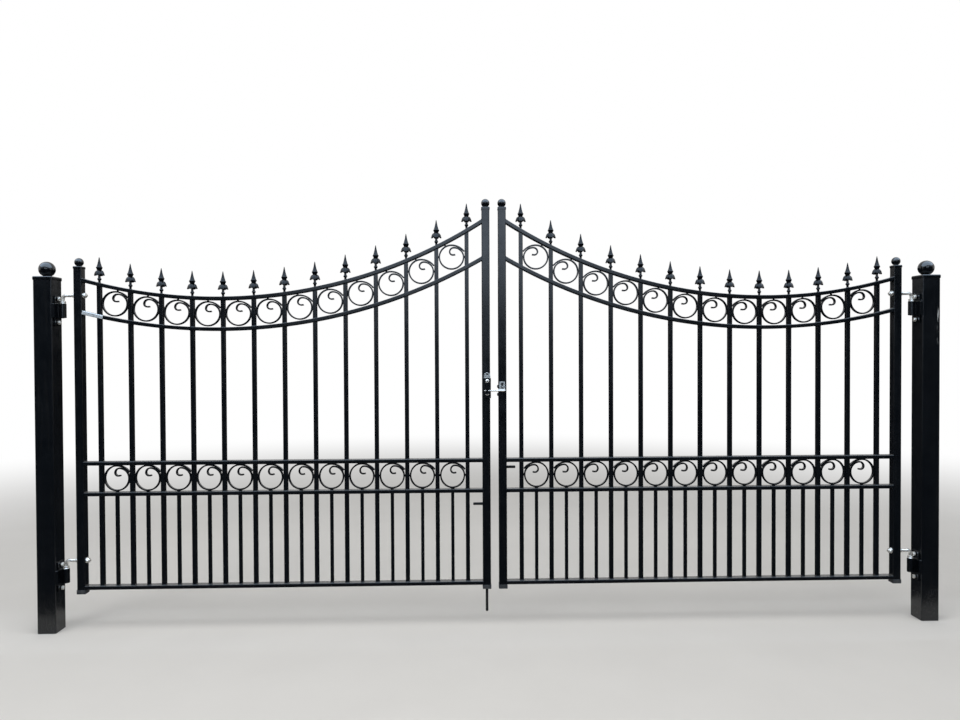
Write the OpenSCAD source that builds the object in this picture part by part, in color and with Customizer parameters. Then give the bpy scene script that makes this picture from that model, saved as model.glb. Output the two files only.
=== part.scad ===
// Double-leaf ornamental swing gate of welded square tube, with its two posts.
// Millimetres. +X runs from the left post to the right post, +Z is up, and the drive side faces -Y.
// The origin is the centre of the left post's foot.

/* [Posts and opening] */
// Width of a square post
post_w = 80; // [70:1:90]
// Wall of a post
post_wall = 3; // [2:0.5:6]
// Height of a post tube's top above the upper barrel's middle
post_over = 144; // [130:1:220]
// Radius of a post's corners
post_corner = 5; // [3.5:0.5:8]
// Gap between a post and the hinge stile
hinge_gap = 80; // [78:1:110]
// Gap between the two meeting stiles
meeting_gap = 37; // [34:1:50]
// Height of the leaves' stile ends above the post feet
leaf_lift = 166; // [120:1:240]

/* [Leaf frame] */
// Width and depth of a stile
stile_w = 35; // [32:1:38]
// Wall of a stile
stile_wall = 2; // [1.5:0.5:3]
// Radius of a stile's corners
stile_corner = 3; // [2.5:0.5:4]
// Length of a hinge stile
hinge_stile_h = 1422; // [1400:1:1480]
// Length of a meeting stile
meeting_stile_h = 1680; // [1665:1:1760]
// Height of a rail's section
rail_h = 16; // [14:1:20]
// Wall of a rail
rail_wall = 1.5; // [1:0.25:2.5]
// Height of the bottom rail's underside above the stile ends
bottom_rail_z = 15; // [15:1:60]
// Height of the lower mid rail's underside above the stile ends
mid_rail_z = 424; // [380:1:480]
// Clear height of the scroll bands, for the upper one where the arches are lowest
band_h = 118; // [113:0.5:130]

/* [Arched rails] */
// Radius of the upper arched rail's top edge
arch_r = 2140; // [2100:5:2200]
// Radius of the lower arched rail's top edge
lower_arch_r = 2315; // [2250:5:2400]
// Distance of the arches' lowest point from the hinge stile's outer face
arch_low_x = 617; // [560:1:680]
// Height of the upper arch's lowest point above the stile ends
arch_low_z = 1292; // [1270:1:1310]

/* [Pickets] */
// Number of full pickets in a leaf
pickets_n = 13; // [11:1:13]
// Distance between picket centres
pitch = 133.3; // [132:0.1:135]
// Width of a picket
picket_w = 18; // [14:0.5:19]
// Wall of a picket
picket_wall = 1.2; // [1:0.1:2]
// Distance from the hinge stile's face to the nearest picket's centre
hinge_bay = 69; // [64:0.5:90]
// Distance from the meeting stile's face to the nearest picket's centre
meeting_bay = 66; // [64:0.5:90]
// Width of a short picket
short_w = 14; // [10:0.5:16]

/* [Scrolls] */
// Thickness of the scroll bar
scroll_t = 6.5; // [4:0.5:7]
// Depth of the scroll bar
scroll_depth = 12; // [8:1:16]
// Middle radius of the ring
ring_r = 52.25; // [50:0.25:52.5]
// Middle radius of the stretch that leads inwards
lead_r = 43.5; // [41:0.5:44]
// Middle radius of the inner curl
curl_r = 17; // [14:0.5:20]
// Middle radius of the tail outside the ring
tail_r = 68; // [66:0.5:72]
// Size of the weld beads that hold a scroll
bead = 6; // [4:0.5:8]

/* [Finials] */
// Height of a finial above the arched rail
finial_h = 111; // [100:1:120]
// Radius of the four drooping petals at their tips
petal_r = 23.5; // [20:0.5:26]
// Half the width of a petal
petal_half = 11; // [8:0.5:12]

/* [Caps] */
// Overhang of a post cap on each side
post_cap_out = 1.5; // [1:0.5:6]
// Height of a post cap
post_cap_h = 15.5; // [12:0.5:24]
// Diameter of a post ball
post_ball_d = 67; // [50:1:76]
// Overhang of a stile cap on each side
stile_cap_out = 1.5; // [1:0.25:4]
// Height of a stile cap
stile_cap_h = 11; // [8:0.5:14]
// Diameter of a stile ball
stile_ball_d = 37.5; // [28:0.5:38]
// Height of the sleeve round a stile's lower end
foot_sleeve_h = 18; // [12:1:18]

/* [Hinges] */
// Distance of the hinge axis from the post's face
axis_out = 26.5; // [25.5:0.5:32]
// Height of the lower barrel's middle above the stile ends
lower_barrel_z = 75; // [60:1:120]
// Depth of the upper barrel's middle below the hinge stile's top
upper_barrel_drop = 190; // [180:1:260]
// Diameter of a hinge barrel
barrel_d = 27; // [24:0.5:28]
// Height of a hinge barrel
barrel_h = 62; // [50:1:70]
// Diameter of the bent hinge bolt
bolt_d = 12; // [10:0.5:13]
// Height of the bolt's arm above the barrel's middle
arm_rise = 66.5; // [64:0.5:72]
// Middle radius of the bends in the hinge bolts and rod handles
bend_r = 14; // [12:0.5:16]
// Height of a hinge plate
hinge_plate_h = 127; // [120:1:150]
// Width of a hinge plate
hinge_plate_w = 50; // [40:1:60]

/* [Latch] */
// Height of the striker bar above the stile ends
strike_z = 875; // [800:1:950]
// Diameter of the striker bar
strike_d = 8; // [6:0.5:9]
// Width of the latch body
latch_w = 32; // [28:1:34]
// Thickness of the latch body
latch_t = 15; // [14:0.5:18]
// Height of the lever's pivot above the striker bar
pivot_rise = 42.5; // [38:0.5:46]
// Width of the striker's plate
striker_w = 26.5; // [22:0.5:30]

/* [Drop rods] */
// Diameter of a drop rod
rod_d = 12; // [10:0.5:14]
// Diameter of a rod's handle
handle_d = 12; // [8:0.5:14]
// Travel of a drop rod
rod_travel = 164; // [120:2:170]
// Length of a drop rod
rod_len = 520; // [500:5:560]
// Reach of a lowered rod below the stile ends
rod_drop = 106; // [80:1:115]
// Height of a lowered rod's handle above the stile ends
handle_z = 366; // [350:1:375]
// Reach of the handle from the stile's face
handle_out = 41; // [36:1:54]

/* [Hidden] */
$fn = 64;
seat = 0.3;
run_gap = 0.08;
punch_gap = 0.15;
cut = 1;

upper_barrel_z = hinge_stile_h - upper_barrel_drop;
post_h = leaf_lift + upper_barrel_z + post_over;
leaf_w = 2 * stile_w + hinge_bay + (pickets_n - 1) * pitch + meeting_bay;
leaf_x = post_w / 2 + hinge_gap;
span = 2 * (leaf_x + leaf_w) + meeting_gap;
rail_l = leaf_w - 2 * stile_w;

rail_top = bottom_rail_z + rail_h;
lower_mid_top = mid_rail_z + rail_h;
upper_mid_z = lower_mid_top + band_h;
upper_mid_top = upper_mid_z + rail_h;
arch_cz = arch_low_z + arch_r;
lower_arch_cz = arch_low_z - rail_h - band_h + lower_arch_r;

ring_out = ring_r + scroll_t / 2;
bay_half = (pitch - picket_w) / 2;
axis_x = post_w / 2 + axis_out;
axis_in_leaf = axis_x - leaf_x;
barrels = [lower_barrel_z, upper_barrel_z];
meeting_x = leaf_w - stile_w / 2;
front_y = -stile_w / 2;

latch_plate_t = 2.5;
lever_t = 3;
latch_x = meeting_x + 4;
latch_face_y = front_y - latch_plate_t - latch_t;
bar_y = latch_face_y + 2 + strike_d / 2;
pivot_d = 8;
pivot_z = strike_z + pivot_rise;

full_positions = [for (i = [0:pickets_n - 1]) stile_w + hinge_bay + i * pitch];
short_positions = [for (i = [0:pickets_n - 2]) stile_w + hinge_bay + (i + 0.5) * pitch];

// Height at x of a circle's lower half, with radius r and its centre at the height cz over the low point.
function sag_z(r, cz, x) = cz - sqrt(r * r - (x - arch_low_x) * (x - arch_low_x));

module on_leaf() {
  translate([leaf_x, 0, leaf_lift])
    children();
}

module on_right_side() {
  translate([span, 0, 0])
    mirror([1, 0, 0])
      children();
}

// Raises a flat shape drawn in X and Z, with its depth centred on Y.
module upright(depth) {
  rotate([90, 0, 0])
    linear_extrude(depth, center = true)
      children();
}

module along_x() {
  rotate([0, 90, 0])
    children();
}

module round_square(w, r) {
  square([w, w - 2 * r], center = true);
  square([w - 2 * r, w], center = true);
  for (sx = [-1, 1], sy = [-1, 1])
    translate([sx * (w / 2 - r), sy * (w / 2 - r)])
      circle(r);
}

module tube(w, wall, h, corner) {
  linear_extrude(h)
    difference() {
      round_square(w, corner);
      round_square(w - 2 * wall, corner - wall + 0.5);
    }
}

// A cap over a square tube whose top is at z: a pressed cover with a ball on it.
module ball_cap(w, out, h, roof, ball_d, z) {
  cap_w = w + 2 * out;
  pocket = w + seat;
  difference() {
    translate([-cap_w / 2, -cap_w / 2, z + roof - h])
      cube([cap_w, cap_w, h]);
    translate([-pocket / 2, -pocket / 2, z - h])
      cube([pocket, pocket, h]);
  }
  translate([0, 0, z + roof + ball_d / 2 - 1])
    sphere(d = ball_d);
}

// Posts and hinges

module post() {
  color("#15181b") {
    tube(post_w, post_wall, post_h, post_corner);
    linear_extrude(post_wall)
      round_square(post_w, post_corner);
  }
}

module post_cap() {
  color("#1b1f23")
    ball_cap(post_w, post_cap_out, post_cap_h, 4, post_ball_d, post_h);
}

// A plate on the post's inner face, a block across the face and the barrel that it carries.
module hinge_bracket(z) {
  plate_t = 6;
  block_t = 10;
  web_w = 16;
  mid = leaf_lift + z;
  color("#0f1113")
    difference() {
      union() {
        translate([post_w / 2, -hinge_plate_w / 2, mid - hinge_plate_h / 2])
          cube([plate_t, hinge_plate_w, hinge_plate_h]);
        translate([post_w / 2, -post_w / 2, mid - barrel_h / 2])
          cube([block_t, post_w, barrel_h]);
        translate([post_w / 2, -web_w / 2, mid - barrel_h / 2])
          cube([axis_out, web_w, barrel_h]);
        translate([axis_x, 0, mid - barrel_h / 2])
          cylinder(d = barrel_d, h = barrel_h);
      }
      translate([axis_x, 0, mid - barrel_h / 2 - cut])
        cylinder(d = bolt_d + 2 * run_gap, h = barrel_h + 2 * cut);
    }
}

// A hexagon nut with its flange on the plane z = 0.
module flange_nut() {
  cylinder(d = 2 * bolt_d, h = 3);
  cylinder(d = 1.7 * bolt_d, h = 11, $fn = 6);
}

// A bolt bent square: its leg turns in the barrel and its arm passes through the hinge stile.
module hinge_bolt(z) {
  arm_z = z + arm_rise;
  foot_z = z - barrel_h / 2 + 2;
  stub = 5;
  translate([axis_in_leaf, 0, foot_z])
    cylinder(d = bolt_d, h = arm_z - bend_r - foot_z);
  translate([axis_in_leaf, 0, z + barrel_h / 2 + seat])
    flange_nut();
  translate([axis_in_leaf + bend_r, 0, arm_z - bend_r])
    rotate([90, 0, 0])
      rotate([0, 0, 90])
        rotate_extrude(angle = 90)
          translate([bend_r, 0])
            circle(d = bolt_d);
  translate([axis_in_leaf + bend_r, 0, arm_z])
    along_x()
      cylinder(d = bolt_d, h = stile_w + 11 + stub - axis_in_leaf - bend_r);
  translate([0, 0, arm_z])
    mirror([1, 0, 0])
      along_x()
        flange_nut();
  translate([stile_w, 0, arm_z])
    along_x()
      flange_nut();
}

module hinge_bolts() {
  color("#b9bdbf")
    for (z = barrels)
      hinge_bolt(z);
}

// Stiles, their caps and sleeves

module hinge_stile() {
  color("#15181b")
    difference() {
      translate([stile_w / 2, 0, 0])
        tube(stile_w, stile_wall, hinge_stile_h, stile_corner);
      for (z = barrels)
        translate([-cut, 0, z + arm_rise])
          along_x()
            cylinder(d = bolt_d + 2 * run_gap, h = stile_w + 2 * cut);
    }
}

// The slot in the rear wall lets the drop rod's handle travel.
module meeting_stile() {
  slot_w = handle_d + 1;
  slot_h = rod_travel + handle_d + 2 * seat;
  color("#15181b")
    difference() {
      translate([meeting_x, 0, 0])
        tube(stile_w, stile_wall, meeting_stile_h, stile_corner);
      translate([meeting_x - slot_w / 2, stile_w / 2 - stile_wall - cut, handle_z - handle_d / 2 - seat])
        cube([slot_w, stile_wall + 2 * cut, slot_h]);
    }
}

module stile_caps() {
  color("#1b1f23")
    for (p = [[stile_w / 2, hinge_stile_h], [meeting_x, meeting_stile_h]])
      translate([p[0], 0, 0])
        ball_cap(stile_w, stile_cap_out, stile_cap_h, 3, stile_ball_d, p[1]);
}

module foot_sleeve() {
  floor_t = 3;
  sleeve_w = stile_w + 3;
  pocket = stile_w + seat;
  translate([-sleeve_w / 2, -sleeve_w / 2, -floor_t])
    difference() {
      cube([sleeve_w, sleeve_w, foot_sleeve_h]);
      translate([(sleeve_w - pocket) / 2, (sleeve_w - pocket) / 2, floor_t])
        cube([pocket, pocket, foot_sleeve_h]);
    }
}

module foot_sleeves() {
  color("#2a2e31") {
    translate([stile_w / 2, 0, 0])
      foot_sleeve();
    translate([meeting_x, 0, 0])
      difference() {
        foot_sleeve();
        translate([0, 0, -foot_sleeve_h])
          cylinder(d = rod_d + 2 * run_gap, h = 2 * foot_sleeve_h);
      }
  }
}

// Rails

// Square holes for pickets of width w, from the height z0 to the height z1.
module punched(w, positions, z0, z1) {
  hole = w + 2 * punch_gap;
  for (x = positions)
    translate([x - hole / 2, -hole / 2, z0])
      cube([hole, hole, z1 - z0]);
}

// The section of a rail, with its top edge on the line x = 0 and the rest beyond it.
module rail_section() {
  difference() {
    translate([0, -stile_w / 2])
      square([rail_h, stile_w]);
    translate([rail_wall, rail_wall - stile_w / 2])
      square([rail_h - 2 * rail_wall, stile_w - 2 * rail_wall]);
  }
}

module straight_rail(z) {
  translate([stile_w, 0, z + rail_h])
    along_x()
      linear_extrude(rail_l)
        rail_section();
}

module upper_mid_rail() {
  color("#15181b")
    difference() {
      straight_rail(upper_mid_z);
      punched(picket_w, full_positions, upper_mid_z - cut, upper_mid_top + cut);
    }
}

module lower_mid_rail() {
  color("#15181b")
    difference() {
      straight_rail(mid_rail_z);
      punched(picket_w, full_positions, mid_rail_z - cut, lower_mid_top + cut);
      punched(short_w, short_positions, mid_rail_z - cut, mid_rail_z + rail_wall + cut);
    }
}

module bottom_rail() {
  floor_z = bottom_rail_z + rail_wall;
  color("#15181b")
    difference() {
      straight_rail(bottom_rail_z);
      punched(picket_w, full_positions, floor_z + cut, rail_top + cut);
      punched(short_w, short_positions, floor_z + cut, rail_top + cut);
    }
}

// The space inside a circle round the arches' middle line.
module inside_circle(r, cz) {
  translate([arch_low_x, 0, cz])
    rotate([90, 0, 0])
      cylinder(r = r, h = 4 * stile_w, center = true, $fn = 256);
}

// A rail curved to the radius r at its top edge and cut square at the stiles.
module arched_rail(r, cz) {
  intersection() {
    translate([arch_low_x, 0, cz])
      rotate([90, 0, 0])
        rotate([0, 0, 225])
          rotate_extrude(angle = 90, $fn = 256)
            translate([r, 0])
              rail_section();
    translate([stile_w, -stile_w, 0])
      cube([rail_l, 2 * stile_w, cz]);
  }
}

module upper_arch_rail() {
  color("#15181b")
    difference() {
      arched_rail(arch_r, arch_cz);
      difference() {
        punched(picket_w, full_positions, arch_low_z - 2 * rail_h, arch_cz);
        inside_circle(arch_r + rail_wall, arch_cz);
      }
    }
}

module lower_arch_rail() {
  color("#15181b")
    difference() {
      arched_rail(lower_arch_r, lower_arch_cz);
      punched(picket_w, full_positions, upper_mid_top, lower_arch_cz);
    }
}

// Pickets stand on the bottom rail's floor and end under the upper arched rail's top wall.
module pickets() {
  floor_z = bottom_rail_z + rail_wall;
  color("#15181b")
    difference() {
      for (x = full_positions)
        translate([x, 0, floor_z])
          tube(picket_w, picket_wall, sag_z(arch_r, arch_cz, x) + rail_h - floor_z, 1.5);
      inside_circle(arch_r + rail_wall, arch_cz);
    }
}

module short_pickets() {
  color("#15181b")
    for (x = short_positions)
      translate([x, 0, bottom_rail_z + rail_wall])
        tube(short_w, picket_wall, mid_rail_z - bottom_rail_z, 1.5);
}

// Scrolls

// The outline of a bar bent round the point c, from the angle a0 to a1.
module bent_bar(c, r, a0, a1) {
  steps = ceil((a1 - a0) / 60);
  translate(c)
    intersection() {
      difference() {
        circle(r + scroll_t / 2);
        circle(r - scroll_t / 2);
      }
      polygon(concat([[0, 0]], [for (i = [0:steps]) 2 * r * unit(a0 + i * (a1 - a0) / steps)]));
    }
}

function unit(a) = [cos(a), sin(a)];

// One bar makes the inner curl, the stretch that leads out of it, the ring and a tail beyond the ring.
module scroll() {
  curl_end = 311;
  tail_end = acos((bay_half - seat) / (tail_r + scroll_t / 2));
  lead_c = [ring_r - lead_r, 0];
  curl_c = [ring_r - lead_r, lead_r - curl_r];
  upright(scroll_depth) {
    bent_bar([0, ring_r - tail_r], tail_r, tail_end, 90);
    bent_bar([0, 0], ring_r, 90, 360);
    bent_bar(lead_c, lead_r, 0, 90);
    bent_bar(curl_c, curl_r, 90, curl_end);
  }
  upright(bead)
    for (side = [-1, 1])
      translate([side * (ring_r + bay_half) / 2, 0])
        square([bay_half - ring_r, bead], center = true);
}

// A weld bead from the ring towards the rail above, leaning by the angle a.
module top_bead(w, h, a) {
  rotate([0, -a, 0])
    upright(bead)
      translate([-w / 2, ring_r])
        square([w, h]);
}

module mid_scrolls() {
  gap = upper_mid_z - lower_mid_top - 2 * ring_out;
  color("#15181b")
    for (x = short_positions)
      translate([x, 0, lower_mid_top + gap + ring_out]) {
        scroll();
        top_bead(26, scroll_t / 2, 0);
      }
}

module arch_scrolls() {
  color("#15181b")
    difference() {
      for (x = short_positions)
        translate([x, 0, arch_band_z(x)]) {
          scroll();
          top_bead(14, 20, asin((x - arch_low_x) / arch_r));
        }
      inside_circle(arch_r + rail_h, arch_cz);
    }
}

// Middle height of the upper band at x.
function arch_band_z(x) =
  (sag_z(arch_r + rail_h, arch_cz, x) + sag_z(lower_arch_r, lower_arch_cz, x)) / 2;

// Finials

// Half sections of the stem with its two-tier knop, and of the cup with its collar and spear.
stem_profile = [
  [0, -9], [4.8, -9], [4.8, 5], [7.6, 11], [9.3, 14], [9.3, 17.5], [7.8, 18.5], [9.6, 19.5], [9.6, 24],
  [8, 26.5], [6.4, 30], [6, 45], [8.6, 47.5], [8.2, 54], [9, 60], [10.2, 62.5], [13, 63.5], [13, 66.5],
  [11, 67.5], [9.6, 72], [7.4, 79], [5.2, 87], [3.6, 95], [2.4, 103], [1.6, 108], [0, 111]
];

// A pointed leaf outline of half length l and half width w, from two circles.
module leaf_outline(l, w) {
  r = (l * l + w * w) / (2 * w);
  intersection_for(side = [-1, 1])
    translate([0, side * (r - w)])
      circle(r, $fn = 128);
}

module finial() {
  k = finial_h / 111;
  shell_t = 3.6;
  hang_r = petal_r - 5;
  top_z = 46 * k;
  rotate_extrude()
    polygon([for (p = stem_profile) k * p]);
  intersection() {
    rotate_extrude()
      translate([petal_r - hang_r, top_z - hang_r])
        intersection() {
          difference() {
            circle(hang_r);
            circle(hang_r - shell_t);
          }
          square(hang_r);
        }
    linear_extrude(top_z)
      for (a = [0, 90])
        rotate(a)
          leaf_outline(petal_r + 3, petal_half);
  }
}

module finials() {
  color("#1b1f23")
    intersection() {
      for (x = full_positions)
        translate([x, 0, sag_z(arch_r, arch_cz, x)])
          finial();
      inside_circle(arch_r, arch_cz);
    }
}

// Drop rods

// The rod runs inside the meeting stile. Its handle leaves through the rear slot and turns behind
// the leaf towards the pickets.
module drop_rod(rise) {
  rear_clearance = 5;
  handle_y = stile_w / 2 + rear_clearance + handle_d / 2;
  color("#1b1f23") {
    translate([meeting_x, 0, rise - rod_drop])
      cylinder(d = rod_d, h = rod_len);
    translate([meeting_x, 0, handle_z + rise]) {
      rotate([-90, 0, 0])
        cylinder(d = handle_d, h = handle_y - bend_r);
      translate([-bend_r, handle_y - bend_r, 0])
        rotate_extrude(angle = 90)
          translate([bend_r, 0])
            circle(d = handle_d);
      translate([-stile_w / 2 - handle_out, handle_y, 0])
        along_x()
          cylinder(d = handle_d, h = stile_w / 2 + handle_out - bend_r);
    }
  }
}

// Latch and striker

// A back plate on the meeting stile, whose rounded tab stands above the latch body.
module latch_plate() {
  plate_w = latch_w - 3;
  foot_z = strike_z - 32;
  hole_z = strike_z + 71;
  tab_z = hole_z - 6.5;
  color("#aeb3b6")
    translate([latch_x, front_y - latch_plate_t / 2, 0])
      upright(latch_plate_t)
        difference() {
          union() {
            translate([-plate_w / 2, foot_z])
              square([plate_w, tab_z - foot_z]);
            translate([0, tab_z])
              circle(plate_w / 2);
          }
          translate([0, hole_z])
            circle(4);
        }
}

// The body has an open jaw for the striker bar and carries the lever's pivot.
module latch_body() {
  jaw = strike_d + 4;
  head_z = 55;
  foot_z = 32;
  color("#0f1113") {
    difference() {
      translate([latch_x - latch_w / 2, latch_face_y, strike_z - foot_z])
        cube([latch_w, latch_t, head_z + foot_z]);
      translate([latch_x - latch_w / 2 - cut, latch_face_y - cut, strike_z - jaw / 2])
        cube([latch_w + 2 * cut, strike_d + 3 + cut, jaw]);
    }
    translate([latch_x, latch_face_y, pivot_z])
      rotate([90, 0, 0]) {
        cylinder(d = pivot_d, h = lever_t + 2 * seat + 1);
        translate([0, 0, lever_t + 2 * seat])
          cylinder(d = 2 * pivot_d, h = 3);
      }
  }
}

// The lever hangs from the pivot in front of the striker bar and ends in an eye.
module latch_lever() {
  eye_z = strike_z - 11;
  eye_d = 18;
  color("#0f1113")
    translate([latch_x, latch_face_y - seat - lever_t / 2, 0])
      upright(lever_t)
        difference() {
          union() {
            translate([0, pivot_z])
              circle(pivot_d);
            translate([-5, eye_z])
              square([10, pivot_z - eye_z]);
            translate([0, eye_z])
              circle(d = eye_d);
          }
          translate([0, pivot_z])
            circle(pivot_d / 2 + run_gap);
          translate([0, eye_z])
            circle(d = eye_d / 2);
        }
}

// An upright plate with a turned-out foot, and the round bar that crosses to the latch.
module striker() {
  plate_t = 3;
  corner = 8;
  mid = meeting_x + 2;
  top_z = strike_z + 40;
  foot_z = strike_z - strike_d / 2;
  bar_past = 25;
  color("#aeb3b6") {
    translate([mid, front_y - plate_t / 2, 0])
      upright(plate_t)
        difference() {
          union() {
            translate([-striker_w / 2, foot_z])
              square([striker_w, top_z - corner - foot_z]);
            translate([corner - striker_w / 2, foot_z])
              square([striker_w - 2 * corner, top_z - foot_z]);
            for (side = [-1, 1])
              translate([side * (striker_w / 2 - corner), top_z - corner])
                circle(corner);
          }
          for (z = [strike_z + 24, strike_z + 30])
            translate([0, z])
              circle(4.5);
          translate([-4.5, strike_z + 24])
            square([9, 6]);
          translate([-5, strike_z + 8])
            square([10, 5]);
        }
    translate([mid - striker_w / 2, bar_y, foot_z])
      cube([striker_w, front_y - bar_y, 4]);
    translate([mid - striker_w / 2, bar_y, strike_z])
      along_x()
        cylinder(d = strike_d, h = striker_w + meeting_gap + bar_past);
  }
}

post();  // left_post
on_right_side() post();  // right_post
post_cap();  // left_post_cap
on_right_side() post_cap();  // right_post_cap
hinge_bracket(upper_barrel_z);  // left_upper_hinge
hinge_bracket(lower_barrel_z);  // left_lower_hinge
on_right_side() hinge_bracket(upper_barrel_z);  // right_upper_hinge
on_right_side() hinge_bracket(lower_barrel_z);  // right_lower_hinge
on_leaf() hinge_stile();  // left_hinge_stile
on_leaf() meeting_stile();  // left_meeting_stile
on_leaf() stile_caps();  // left_stile_caps
on_leaf() foot_sleeves();  // left_foot_sleeves
on_leaf() upper_arch_rail();  // left_upper_arch_rail
on_leaf() lower_arch_rail();  // left_lower_arch_rail
on_leaf() upper_mid_rail();  // left_upper_mid_rail
on_leaf() lower_mid_rail();  // left_lower_mid_rail
on_leaf() bottom_rail();  // left_bottom_rail
on_leaf() pickets();  // left_pickets
on_leaf() short_pickets();  // left_short_pickets
on_leaf() arch_scrolls();  // left_arch_scrolls
on_leaf() mid_scrolls();  // left_mid_scrolls
on_leaf() finials();  // left_finials
on_leaf() hinge_bolts();  // left_hinge_bolts
on_leaf() drop_rod(0);  // left_drop_rod
on_right_side() on_leaf() hinge_stile();  // right_hinge_stile
on_right_side() on_leaf() meeting_stile();  // right_meeting_stile
on_right_side() on_leaf() stile_caps();  // right_stile_caps
on_right_side() on_leaf() foot_sleeves();  // right_foot_sleeves
on_right_side() on_leaf() upper_arch_rail();  // right_upper_arch_rail
on_right_side() on_leaf() lower_arch_rail();  // right_lower_arch_rail
on_right_side() on_leaf() upper_mid_rail();  // right_upper_mid_rail
on_right_side() on_leaf() lower_mid_rail();  // right_lower_mid_rail
on_right_side() on_leaf() bottom_rail();  // right_bottom_rail
on_right_side() on_leaf() pickets();  // right_pickets
on_right_side() on_leaf() short_pickets();  // right_short_pickets
on_right_side() on_leaf() arch_scrolls();  // right_arch_scrolls
on_right_side() on_leaf() mid_scrolls();  // right_mid_scrolls
on_right_side() on_leaf() finials();  // right_finials
on_right_side() on_leaf() hinge_bolts();  // right_hinge_bolts
on_right_side() on_leaf() drop_rod(rod_travel);  // right_drop_rod
on_leaf() latch_plate();
on_leaf() latch_body();
on_leaf() latch_lever();
on_right_side() on_leaf() striker();
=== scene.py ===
"""Looks of a double-leaf driveway gate: welded square tube in black powder coat, with bright zinc hinge bolts."""
import math
import bpy
import numpy as np
from mathutils import Matrix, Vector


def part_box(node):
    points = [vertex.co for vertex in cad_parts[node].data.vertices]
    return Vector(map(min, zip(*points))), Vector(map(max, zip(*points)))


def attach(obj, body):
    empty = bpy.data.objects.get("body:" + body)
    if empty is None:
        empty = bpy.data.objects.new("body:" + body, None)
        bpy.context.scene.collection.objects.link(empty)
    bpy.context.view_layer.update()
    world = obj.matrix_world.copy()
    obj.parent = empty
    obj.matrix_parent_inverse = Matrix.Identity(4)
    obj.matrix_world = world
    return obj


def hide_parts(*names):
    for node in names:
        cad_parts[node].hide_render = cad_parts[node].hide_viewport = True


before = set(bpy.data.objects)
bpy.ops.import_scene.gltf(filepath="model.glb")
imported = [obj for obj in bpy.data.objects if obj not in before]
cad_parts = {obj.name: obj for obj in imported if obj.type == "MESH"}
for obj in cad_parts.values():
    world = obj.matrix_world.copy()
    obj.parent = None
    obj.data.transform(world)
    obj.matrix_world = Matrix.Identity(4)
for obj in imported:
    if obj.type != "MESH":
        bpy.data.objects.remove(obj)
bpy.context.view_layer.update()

# Sizes in millimetres. A leaf is drawn with its hinge stile's outer face at x = 0 and its stiles' feet at z = 0.
POST_W, POST_H = 80.0, 1542.0
LEAF_X, LEAF_LIFT, LEAF_W, SPAN = 120.0, 166.0, 1804.6, 3886.2
STILE_W, HINGE_STILE_H, MEETING_STILE_H = 35.0, 1422.0, 1680.0
MEETING_X = LEAF_W - STILE_W / 2
RAIL_H = 16.0
BOTTOM_RAIL_Z, MID_RAIL_Z, BAND_H = 15.0, 424.0, 118.0
LOWER_MID_TOP = MID_RAIL_Z + RAIL_H
UPPER_MID_Z = LOWER_MID_TOP + BAND_H
# Both arched rails hang from centres above ARCH_LOW_X; the radii are those of their upper faces.
ARCH_R, LOWER_ARCH_R, ARCH_LOW_X, ARCH_LOW_Z = 2140.0, 2315.0, 617.0, 1292.0
ARCH_CZ = ARCH_LOW_Z + ARCH_R
LOWER_ARCH_CZ = ARCH_LOW_Z - RAIL_H - BAND_H + LOWER_ARCH_R
PITCH, PICKET_W, SHORT_W, HINGE_BAY = 133.3, 18.0, 14.0, 69.0
FULL_X = STILE_W + HINGE_BAY + PITCH * np.arange(13)
SHORT_X = FULL_X[:-1] + PITCH / 2
# A scroll's radii are those of its bar's middle line.
RING_R, LEAD_R, CURL_R, HOOK_R, TIP_R, TAIL_R, BAR_T, BAR_DEPTH = 52.25, 41.5, 18.5, 13.5, 45.0, 68.0, 6.5, 12.0
RING_OUT = RING_R + BAR_T / 2
BAY_HALF = (PITCH - PICKET_W) / 2
AXIS_IN_LEAF, BARRELS, BARREL_H, ARM_RISE, BEND_R, BOLT_R = -53.5, (75.0, 1232.0), 62.0, 66.5, 14.0, 6.0
BRACKET_T, BRACKET_BOLT_Y, BRACKET_BOLT_OFF = 6.0, -4.0, 51.3
STRIKE_Z, PIVOT_RISE, EYE_DROP, LATCH_FACE_Y = 875.0, 42.5, 11.0, -35.0
LATCH_X = MEETING_X + 4
ROD_R, ROD_LEN, ROD_DROP, ROD_TRAVEL, HANDLE_Z = 6.0, 520.0, 106.0, 164.0, 366.0
HANDLE_Y, HANDLE_OUT = 28.5, 41.0
# Corner radii of the tubes, and radii of the weld beads.
POST_CORNER, STILE_CORNER, RAIL_CORNER, PICKET_CORNER = 5.0, 3.0, 2.0, 1.6
BEAD_R, RAIL_BEAD_R = 1.5, 2.0
# Where one piece stands on another it is sunk this far, so that no slit shows between them.
SUNK = 0.2


# --- Surfaces. A shell is (points, four-sided faces, three-sided faces).

def skin(rings, tips=(None, None)):
    """A closed skin over a stack of rings: point j of ring i is joined to point j + 1 and to ring i + 1.

    The rings run anticlockwise about the stack's direction. Each end is a fan to its tip, by default the ring's mean.
    """
    n, m = rings.shape[:2]
    here = np.arange(n * m).reshape(n, m)
    beside = np.roll(here, -1, axis=1)
    quads = np.stack([here[:-1], beside[:-1], beside[1:], here[1:]], axis=-1).reshape(-1, 4)
    ends = [rings[k].mean(axis=0) if tip is None else np.asarray(tip, float) for k, tip in zip((0, -1), tips)]
    low = np.stack([beside[0], here[0], np.full(m, n * m)], axis=-1)
    high = np.stack([here[-1], beside[-1], np.full(m, n * m + 1)], axis=-1)
    return np.vstack([rings.reshape(-1, 3), ends]), quads, np.vstack([low, high])


def loop_skin(rings):
    """A skin whose last ring joins its first: both parameters run round."""
    n, m = rings.shape[:2]
    here = np.arange(n * m).reshape(n, m)
    beside = np.roll(here, -1, axis=1)
    quads = np.stack([here, beside, np.roll(beside, -1, axis=0), np.roll(here, -1, axis=0)], axis=-1)
    return rings.reshape(-1, 3), quads.reshape(-1, 4), np.zeros((0, 3), int)


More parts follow.
